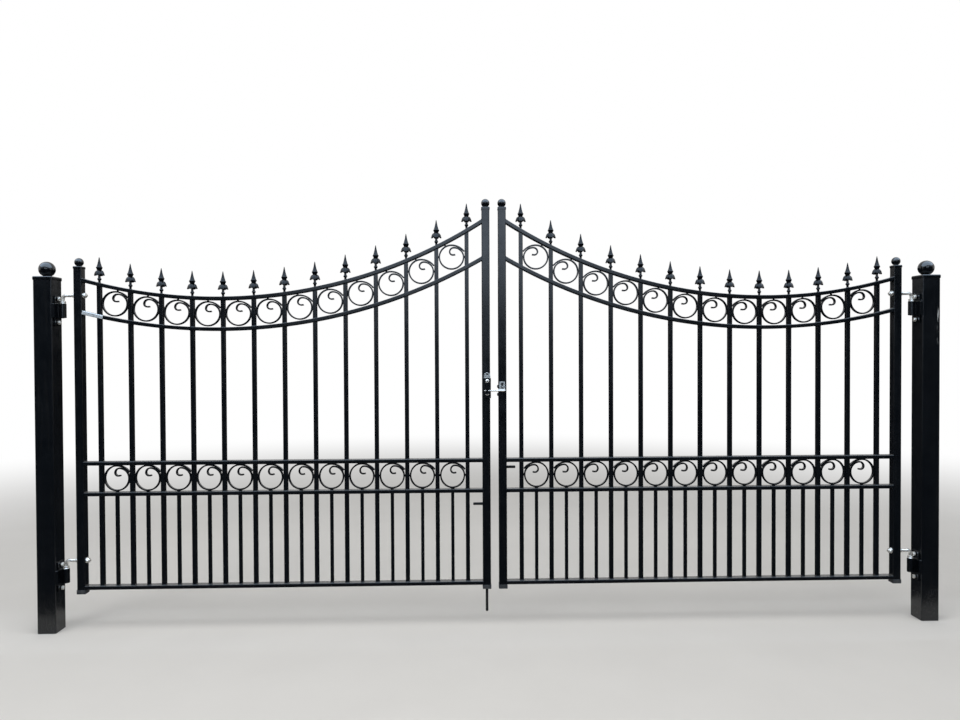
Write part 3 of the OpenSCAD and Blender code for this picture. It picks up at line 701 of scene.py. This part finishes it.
# A weld runs round every picket at each rail's face that it meets, and round every finial's foot.
FOOT_W, FOOT_CORNER = 10.4, 5.1
welds = []
for x in FULL_X:
    for z in (BOTTOM_RAIL_Z + RAIL_H, MID_RAIL_Z, LOWER_MID_TOP, UPPER_MID_Z, UPPER_MID_Z + RAIL_H):
        welds.append(moved(weld(PICKET_W, PICKET_W, PICKET_CORNER, BEAD_R, level(z)), x))
    for r, cz in ((LOWER_ARCH_R, LOWER_ARCH_CZ), (LOWER_ARCH_R + RAIL_H, LOWER_ARCH_CZ), (ARCH_R + RAIL_H, ARCH_CZ)):
        welds.append(moved(weld(PICKET_W, PICKET_W, PICKET_CORNER, BEAD_R, sloped(r, cz, x)), x))
    welds.append(moved(weld(FOOT_W, FOOT_W, FOOT_CORNER, BEAD_R, sloped(ARCH_R, ARCH_CZ, x)), x))
for x in SHORT_X:
    for z in (BOTTOM_RAIL_Z + RAIL_H, MID_RAIL_Z):
        welds.append(moved(weld(SHORT_W, SHORT_W, PICKET_CORNER, BEAD_R - 0.1, level(z)), x))
both("picket_welds", welds, COAT, node=False, sharp=80)

# A weld runs over and under each rail's end, where it meets the stile's face; between them it lies inside the tubes.
RUN_W, RUN_CORNER = STILE_W - 5, 2.5
rail_welds = []
for face, turn in ((STILE_W, TO_RIGHT), (LEAF_W - STILE_W, TO_LEFT)):
    run = weld(RAIL_H, RUN_W, RUN_CORNER, RAIL_BEAD_R, level(0.0))
    for z in (BOTTOM_RAIL_Z, MID_RAIL_Z, UPPER_MID_Z):
        rail_welds.append(moved(run, face, 0, z + RAIL_H / 2, turn))
    for r, cz in ((ARCH_R, ARCH_CZ), (LOWER_ARCH_R, LOWER_ARCH_CZ)):
        lean = math.asin((face - ARCH_LOW_X) / (r + RAIL_H / 2))
        run = weld(RAIL_H / math.cos(lean), RUN_W, RUN_CORNER, RAIL_BEAD_R, level(0.0))
        rail_welds.append(moved(run, face, 0, (sag(r, cz, face) + sag(r + RAIL_H, cz, face)) / 2, turn))
both("rail_welds", rail_welds, COAT, node=False, sharp=80)


# --- Scrolls

BAR_SECTION = rounded(BAR_DEPTH, BAR_T, 0.9, 2)
TAIL_END = math.degrees(math.acos((BAY_HALF - 0.3) / (TAIL_R + BAR_T / 2)))
CURL_X, CURL_Z = RING_R - LEAD_R, LEAD_R - CURL_R
HOOK_X = CURL_X - CURL_R + HOOK_R
# The bar's tail from a picket, the ring three quarters round, the lead inwards, the curl, its tight hook and its tip.
SCROLL_PATH = path(arc(0, RING_R - TAIL_R, TAIL_R, TAIL_END, 90, 14), arc(0, 0, RING_R, 90, 360, 66),
                   arc(CURL_X, 0, LEAD_R, 0, 90, 22), arc(CURL_X, CURL_Z, CURL_R, 90, 180, 16),
                   arc(HOOK_X, CURL_Z, HOOK_R, 180, 270, 14),
                   arc(HOOK_X, CURL_Z - HOOK_R + TIP_R, TIP_R, 270, 284, 4))
SCROLL = carried(SCROLL_PATH, BAR_SECTION, 0.9)
# In the mid band the rings are drawn up to reach from the upper rail to 3 mm over the lower one.
MID_TALL, ARCH_WIDE = (BAND_H - 3) / (2 * RING_OUT), 1.02
# Radii of the weld lumps, across, in depth and in height: beside a ring, over it and under it. Then a neck's radii.
SIDE_LUMP, TOP_LUMP, LOW_LUMP = (2.9, 3.6, 5.2), (11, 4.2, 2.6), (8, 3.6, 2.8)
NECK_R = (5.6, 5.0, 3.9, 4.6, 5.4)


def scroll_at(x, z, seed, wide=1.0, tall=1.0):
    """One bent bar, sprung a little to its bay, with a weld lump at each side, against the pickets."""
    points, quads, fans = SCROLL
    side = (RING_OUT * wide + BAY_HALF) / 2
    lumps = [lump(x + s * side, 0, z, *SIDE_LUMP, seed + s) for s in (-1, 1)]
    return [moved((points * (wide, 1.0, tall), quads, fans), x, 0, z)] + lumps


mid_scrolls, arch_scrolls = [], []
for i, x in enumerate(SHORT_X):
    mid_scrolls += scroll_at(x, UPPER_MID_Z - RING_OUT * MID_TALL, i, tall=MID_TALL)
    mid_scrolls.append(lump(x, 0, UPPER_MID_Z - 0.6, *TOP_LUMP, i))
    mid_scrolls.append(lump(x, 0, LOWER_MID_TOP + 1.2, *LOW_LUMP, i + 40))
    # Midway between the rails, each arch ring hangs by a neck of weld that runs from its top to the upper rail.
    z = float(sag(ARCH_R + RAIL_H, ARCH_CZ, x) + sag(LOWER_ARCH_R, LOWER_ARCH_CZ, x)) / 2
    lean = math.asin((x - ARCH_LOW_X) / ARCH_R)
    up = np.array([-math.sin(lean), math.cos(lean)])
    reach = math.hypot(x - ARCH_LOW_X, ARCH_CZ - z) - (ARCH_R + RAIL_H)
    t = np.array([RING_R + 0.6, RING_OUT + 0.5, (RING_OUT + reach) / 2, reach - 0.5, reach + 1.2])
    neck = np.stack([x + up[0] * t, np.zeros(5), z + up[1] * t], axis=-1)
    arch_scrolls += scroll_at(x, z, i + 20, wide=ARCH_WIDE) + [piped(neck, NECK_R, 14)]
both("mid_scrolls", mid_scrolls, COAT)
both("arch_scrolls", arch_scrolls, COAT)


# --- Finials

# The finial's turned line as (radius, height): foot, ball, waist, cup, collar and spear.
STEM = curve([(4.8, -9), (4.8, 0), (5.1, 7), (5.7, 10), (7.6, 12), (8.5, 14.4), (8.5, 16.6), (7.4, 19), (5.8, 20.8),
              (5.3, 25), (5.3, 34), (6, 43), (8.2, 50), (9.2, 54), (10.8, 59), (12.2, 62.4),
              (12.9, 63.6), (13.3, 65.3), (12.9, 67), (11.2, 68),
              (9.9, 72), (7.8, 79), (5.8, 87), (4.1, 95), (2.7, 103), (1.7, 108), (0.6, 111)], 3, sharp=(15, 19))


def petal(turn):
    """A drooping petal: a flat oval section carried down over a shoulder to a lip that kicks out a little.

    Half its width is a power of a half sine of the way along, fullest just past the middle; across, the section
    sinks with the square of the offset, and a rib runs down its middle.
    """
    way = curve([(5.6, 50.2), (9.4, 50.4), (13.4, 48.4), (16.0, 44.8), (17.8, 40.6), (19.1, 36.4), (20.2, 33),
                 (21.7, 30.6)], 4)
    s = np.linspace(0, 1, len(way))
    along = np.gradient(way, axis=0)
    along /= np.linalg.norm(along, axis=1)[:, None]
    out_r, out_z = -along[:, 1], along[:, 0]
    half_w, root_t, sink, rib_h, rib_w, sides = 12.5, 2.7, 0.042, 0.8, 1.3, 18
    wide = half_w * np.sin(math.pi * (0.16 + 0.84 * s) ** 1.5) ** 0.6 + 0.2
    thick = root_t * (1 - 0.3 * s)
    phi = np.arange(sides) * 2 * math.pi / sides
    b = wide[:, None] * np.sin(phi)
    n = thick[:, None] * np.cos(phi) - sink * b**2 + rib_h * np.exp(-(b / rib_w) ** 2) * (np.cos(phi) > 0)
    x, y, h = way[:, :1] + n * out_r[:, None], -b, way[:, 1:] + n * out_z[:, None]
    c, q = math.cos(turn), math.sin(turn)
    return skin(np.stack([x * c - y * q, x * q + y * c, h], axis=-1))


# The petals hide the joint between the foot with its ball, which keeps its gloss under them, and the spear, whose
# coat mirrors less as painted shade.
JOINT = int(np.argmin(abs(STEM[:, 1] - 43)))
FOOT = [turned(STEM[:JOINT + 1, 1], STEM[:JOINT + 1, 0], 40)]
SPEAR = [turned(STEM[JOINT:, 1], STEM[JOINT:, 0], 40)] + [petal(k * math.pi / 2) for k in range(4)]


def on_arch(shells):
    """Copies of shells on the upper arched rail, over every full picket."""
    return [moved(s, x, 0, float(sag(ARCH_R, ARCH_CZ, x))) for x in FULL_X for s in shells]


both("finials", on_arch(SPEAR), FINIAL_COAT, sharp=50)
both("finial_feet", on_arch(FOOT), GLOSS, node=False, sharp=50)


# --- Hinge bolts

BENT_R, ROUND, EASE = BOLT_R + 0.9, 28, 0.8
hinge_nut = nut(across=20.4, h=8, flange=3, flange_r=12.4)
collar = curve([(11.6, 0), (11.6, 3.2), (9.4, 4.4), (8.9, 9), (8.0, 12.6)], 3, sharp=(1, 2))
bolts = []
for z in BARRELS:
    arm = z + ARM_RISE
    foot = z - BARREL_H / 2 + 2
    # The bolt is turned down to its pin and its thread from the thicker bent bar between them.
    pin = line(AXIS_IN_LEAF, foot, AXIS_IN_LEAF, z + BARREL_H / 2 + 8, 4)
    bolts.append(carried(pin, circle(BOLT_R, ROUND), EASE))
    bend = path(line(AXIS_IN_LEAF, z + BARREL_H / 2 + 5, AXIS_IN_LEAF, arm - BEND_R, 4),
                arc(AXIS_IN_LEAF + BEND_R, arm - BEND_R, BEND_R, 180, 90, 14),
                line(AXIS_IN_LEAF + BEND_R, arm, 14, arm, 5))
    bolts.append(carried(bend, circle(BENT_R, ROUND), EASE))
    bolts.append(carried(line(10, arm, STILE_W + 12, arm, 3), circle(BOLT_R, ROUND), EASE))
    bolts.append(moved(hinge_nut, AXIS_IN_LEAF, 0, z + BARREL_H / 2 + 0.3))
    bolts.append(moved(turned(collar[:, 1], collar[:, 0], 48), 0, 0, arm, TO_LEFT))
    bolts.append(moved(hinge_nut, STILE_W, 0, arm, TO_RIGHT))
    bolts.append(moved(thread(length=6.5, radius=BOLT_R), STILE_W + 10, 0, arm, TO_RIGHT))
both("hinge_bolts", bolts, ZINC)


# --- Drop rods

def drop_rod(rise):
    """A round rod inside the meeting stile, and its handle: out at the back, then round towards the pickets."""
    end = np.array([0, 0.8, 1.6])
    z = np.concatenate([end, [ROD_LEN / 2], ROD_LEN - end[::-1]])
    rod = moved(turned(z, [ROD_R - 2.0, ROD_R - 0.6, ROD_R, ROD_R, ROD_R, ROD_R - 0.6, ROD_R - 2.0], 28),
                MEETING_X, 0, rise - ROD_DROP)
    a = np.linspace(0, math.pi / 2, 11)[:, None]
    tip_x = MEETING_X - STILE_W / 2 - HANDLE_OUT
    out = np.array([[MEETING_X, 0, 0], [MEETING_X, HANDLE_Y - BEND_R - 4, 0]])
    bend = np.hstack([MEETING_X - BEND_R * (1 - np.cos(a)), HANDLE_Y - BEND_R * (1 - np.sin(a)), 0 * a])
    tip = np.array([[tip_x + k, HANDLE_Y, 0] for k in (20, 2.4, 1.2, 0.4, 0)])
    points = np.vstack([out, bend, tip])
    points[:, 2] += HANDLE_Z + rise
    radii = np.full(len(points), ROD_R)
    radii[-3:] = ROD_R - 0.4, ROD_R - 1.4, ROD_R - 2.6
    return on_leaf([rod, piped(points, radii, 24)])


make("left_drop_rod_bar", drop_rod(0), "left_drop_rod", ROD_COAT, ("left_drop_rod",))
make("right_drop_rod_bar", [mirrored(s) for s in drop_rod(ROD_TRAVEL)], "right_drop_rod", ROD_COAT,
     ("right_drop_rod",))


# --- Latch, striker, stops and the silver strip

dressed("latch_plate", "left_leaf", GALVANISED, bevel=0.5, segments=2)
dressed("latch_body", "left_leaf", COAT, bevel=1.2, segments=3)
dressed("latch_lever", "latch_lever", LEVER_COAT, bevel=0.7, segments=2)
dressed("striker", "right_leaf", GALVANISED, bevel=0.5, segments=2)


def striker_bar():
    """The striker's round bar in its bright plating: a skin 0.1 mm proud of it, domed 4 mm past its free end."""
    low, high = (1000 * np.array(corner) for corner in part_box("striker"))
    bar_r, way = 4, high[0] - low[0] - 0.3
    skin_line = curve([(0.5, -4), (2.3, -3.6), (3.5, -2.4), (4.0, -0.8), (4.1, 1.5), (4.1, way)], 5, sharp=(4, 5))
    return moved(turned(skin_line[:, 1], skin_line[:, 0], 40), low[0], low[1] + bar_r, low[2] + bar_r, TO_RIGHT)


make("striker_bar_plating", [striker_bar()], "right_leaf", ZINC)

screw_line = curve([(8.6, 0), (8.6, 0.8), (7.9, 2.4), (5.8, 3.9), (3.4, 4.5), (3.1, 4.3), (3.0, 2.2)], 4,
                   sharp=(4, 5))
screw = moved(turned(screw_line[:, 1], screw_line[:, 0], 48), LATCH_X, LATCH_FACE_Y - 3.7, STRIKE_Z + PIVOT_RISE,
              TO_FRONT)
make("latch_pivot_screw", on_leaf([screw]), "left_leaf", ZINC)

# Two rubber stops on the right meeting stile keep the closed leaves from knocking.
stop_line = curve([(7.0, 0), (7.0, 2.6), (6.2, 4.6), (3.6, 5.8), (0.6, 6.1)], 4, sharp=(0,))
stops = [moved(turned(stop_line[:, 1], stop_line[:, 0], 32), LEAF_W, -4, z, TO_RIGHT)
         for z in (STRIKE_Z + 17, STRIKE_Z - 18)]
make("right_stile_stops", [mirrored(s) for s in on_leaf(stops)], "right_leaf", RUBBER)


def strip():
    """A bare film strip stuck round the front of the lower arched rail.

    Its closed outline runs over the rail's two front corners and back 0.25 mm further in; the strip's own angle on
    the arch carries the outline along.
    """
    first_x, last_x, hem = 37.5, 126, 4
    x = np.linspace(first_x, last_x, 30)
    turn = np.arcsin((x - ARCH_LOW_X) / LOWER_ARCH_R)
    half = STILE_W / 2
    a = np.radians(np.linspace(0, 90, 5))

    def edge(r):
        """The outline's y and height above the rail's upper face, round both corners at the radius r."""
        y = [[hem - half], RAIL_CORNER - half - r * np.sin(a), RAIL_CORNER - half - r * np.cos(a), [hem - half]]
        low = RAIL_CORNER - RAIL_H
        h = [[r - RAIL_CORNER], r * np.cos(a) - RAIL_CORNER, low - r * np.sin(a), [low - r]]
        return np.concatenate(y), np.concatenate(h)

    (out_y, out_h), (in_y, in_h) = edge(RAIL_CORNER + 0.3), edge(RAIL_CORNER + 0.05)
    y, h = np.concatenate([out_y, in_y[::-1]]), np.concatenate([out_h, in_h[::-1]])
    r = LOWER_ARCH_R - h[None, :]
    xs = ARCH_LOW_X + r * np.sin(turn[:, None])
    zs = LOWER_ARCH_CZ - r * np.cos(turn[:, None])
    return skin(np.stack([xs, np.broadcast_to(y, xs.shape), zs], axis=-1))


make("left_silver_strip", on_leaf([strip()]), "left_leaf", FOIL, sharp=40)


# --- Floor, light and camera

# Middle of the gate in metres, near enough to place the floor and the lamps by.
MIDDLE = 1.9


def stood(thing, at, right, up, ahead):
    """Stands a camera or lamp at a place; both look down their own -Z, with +X to the right."""
    rows = [[right[k], up[k], -ahead[k], at[k]] for k in range(3)]
    thing.matrix_world = Matrix(rows + [[0, 0, 0, 1]])


def pale_floor():
    """A flat painted floor, which the camera sees fade to white away from the gate."""
    mesh = bpy.data.meshes.new("studio_floor")
    n = 13
    g = np.linspace(-30, 30, n)
    x, y = np.meshgrid(g, g, indexing="ij")
    points = np.stack([x + MIDDLE, y, np.zeros_like(x)], axis=-1).reshape(-1, 3)
    here = np.arange(n * n).reshape(n, n)
    quads = np.stack([here[:-1, :-1], here[1:, :-1], here[1:, 1:], here[:-1, 1:]], axis=-1).reshape(-1, 4)
    mesh.from_pydata(points.tolist(), [], quads.tolist())
    floor = linked("studio_floor", mesh)
    material, tree, shader, place = finish_start("pale_floor_paint")
    # A matt paint on a smooth floor, rolled, so its tone shifts a little over about 300 mm.
    cloud = add(tree, "TexNoise", Vector=place, Scale=3.0, Detail=3.0).outputs["Fac"]
    tree.links.new(mixed(tree, cloud, linear("#dcdad6"), linear("#e3e1dd")), shader.inputs["Base Color"])
    shader.inputs["Roughness"].default_value = 0.8
    shader.inputs["Specular IOR Level"].default_value = 0.2
    away = add(tree, "VectorMath", {"operation": "DISTANCE"}, in_0=place, in_1=(1.94, 0.0, 0.0)).outputs["Value"]
    glow = add(tree, "Emission", Color=(1, 1, 1, 1), Strength=1.0)
    seen = add(tree, "LightPath").outputs["Is Camera Ray"]
    far = times(tree, ramp(tree, away, 2.6, 7.5), seen)
    blend = add(tree, "MixShader", in_0=far, in_1=shader.outputs[0], in_2=glow.outputs[0])
    tree.links.new(blend.outputs[0], tree.nodes["Material Output"].inputs["Surface"])
    mesh.materials.append(material)


def velvet(name):
    """Black velvet: short pile that returns almost no light, a little more where it lies over in broad patches."""
    material, tree, shader, place = finish_start(name)
    pile = add(tree, "TexNoise", Vector=place, Scale=2.0, Detail=2.0).outputs["Fac"]
    tree.links.new(mixed(tree, pile, linear("#101114"), linear("#1d1f23")), shader.inputs["Base Color"])
    shader.inputs["Roughness"].default_value = 0.95
    shader.inputs["Specular IOR Level"].default_value = 0.1
    return material


def white_world():
    """A white world, half as bright to diffuse light as to the camera and to mirror images."""
    world = bpy.data.worlds.new("studio_world")
    bpy.context.scene.world = world
    world.use_nodes = True
    tree = world.node_tree
    tree.nodes.clear()
    light = add(tree, "LightPath")
    seen = add(tree, "Math", {"operation": "MAXIMUM"}, in_0=light.outputs["Is Camera Ray"],
               in_1=light.outputs["Is Glossy Ray"])
    seen = add(tree, "Math", {"operation": "MAXIMUM"}, in_0=seen.outputs[0],
               in_1=light.outputs["Is Transmission Ray"])
    strength = ramp(tree, seen.outputs[0], 0.0, 1.0, 0.5, 1.0)
    backdrop = add(tree, "Background", Color=(1, 1, 1, 1), Strength=strength)
    add(tree, "OutputWorld", Surface=backdrop.outputs[0])


# Corners of the dark cards. They lie and stand in front of the gate and behind it, and only mirror images show them.
NEAR, FAR, LEFT, RIGHT, LOW = -9, 25, -28, 32, 0.004
CARDS = {
    "front_ground_card": ((-9, NEAR, LOW), (13, NEAR, LOW), (13, -0.25, LOW), (-9, -0.25, LOW)),
    "rear_ground_card": ((LEFT, 0.25, LOW), (RIGHT, 0.25, LOW), (RIGHT, FAR, LOW), (LEFT, FAR, LOW)),
    "front_wall_card": ((-1, NEAR, 0), (-1, NEAR, 2.2), (4.9, NEAR, 2.2), (4.9, NEAR, 0)),
    "upper_front_card": ((-16, -9.2, 5), (-16, -9.2, 7.2), (20, -9.2, 7.2), (20, -9.2, 5)),
    "left_wall_card": ((-16, -8, 0), (-16, -8, 4.4), (-1, NEAR, 4.4), (-1, NEAR, 0)),
    "right_wall_card": ((4.9, NEAR, 0), (4.9, NEAR, 4.4), (20, -8, 4.4), (20, -8, 0)),
    "rear_wall_card": ((LEFT, FAR, 0), (RIGHT, FAR, 0), (RIGHT, FAR, 5.4), (11.8, FAR, 5.4), (11.8, FAR, 4.0),
                       (-7, FAR, 4.0), (-7, FAR, 5.4), (LEFT, FAR, 5.4)),
}


def dark_cards(material):
    """The dark cards, hidden from the camera, from diffuse light and from shadow."""
    for name, corners in CARDS.items():
        mesh = bpy.data.meshes.new(name)
        mesh.from_pydata(corners, [], [tuple(range(len(corners)))])
        card = linked(name, mesh)
        mesh.materials.append(material)
        card.visible_camera = card.visible_diffuse = card.visible_shadow = card.visible_transmission = False


# Place, aim, width and height, power, and whether only mirror images show the lamp.
LAMPS = {
    "overhead_softbox": ((MIDDLE, -0.9, 4.2), (MIDDLE, 0.2, 0.6), (5.5, 2.6), 95.0, False),
    "left_softbox": ((-2.6, -4.2, 3.0), (MIDDLE, 0, 0.9), (2.4, 2.4), 60.0, False),
    "open_sky_panel": ((MIDDLE, -9.1, 3.5), (MIDDLE, 0, 3.5), (30.0, 2.8), 450.0, True),
    "high_sky_panel": ((MIDDLE, -4.5, 10.0), (MIDDLE, -4.4, 0.0), (36.0, 15.0), 7400.0, True),
}


def soft_lamps():
    """Two softboxes that light the gate, and two pale blue panels that only its mirror images show."""
    for name, (at, aim, size, power, mirror_only) in LAMPS.items():
        lamp = bpy.data.lights.new(name, "AREA")
        lamp.shape, lamp.size, lamp.size_y, lamp.energy = "RECTANGLE", size[0], size[1], power
        holder = linked(name, lamp)
        holder.visible_glossy = mirror_only
        if mirror_only:
            lamp.color = (0.55, 0.75, 1.0)
            holder.visible_diffuse = holder.visible_camera = False
        ahead = np.array(aim) - np.array(at)
        ahead = ahead / np.linalg.norm(ahead)
        right = np.cross(ahead, [0, 0, 1.0])
        right /= np.linalg.norm(right)
        stood(holder, at, right, np.cross(right, ahead), ahead)


def photo_camera():
    """The camera at the photograph's own place, solved from the gate's straight lines and even pickets."""
    yaw, pitch, roll = 0.0267, 0.0146, -0.0046
    right = np.array([math.cos(yaw), -math.sin(yaw), 0])
    ahead = np.array([math.sin(yaw) * math.cos(pitch), math.cos(yaw) * math.cos(pitch), -math.sin(pitch)])
    up = np.cross(right, ahead)
    right, up = math.cos(roll) * right + math.sin(roll) * up, math.cos(roll) * up - math.sin(roll) * right
    data = bpy.data.cameras.new("photo_camera")
    # The lens is 721 pixels long against a picture 960 pixels wide.
    data.sensor_width, data.lens = 36.0, 721 / 960 * 36.0
    holder = linked("photo_camera", data)
    stood(holder, (1.7956, -3.1886, 1.2218), right, up, ahead)
    bpy.context.scene.camera = holder


pale_floor()
card_velvet = velvet("black_velvet")
white_world()
dark_cards(card_velvet)
soft_lamps()
photo_camera()
bpy.context.scene.view_settings.view_transform = "Standard"
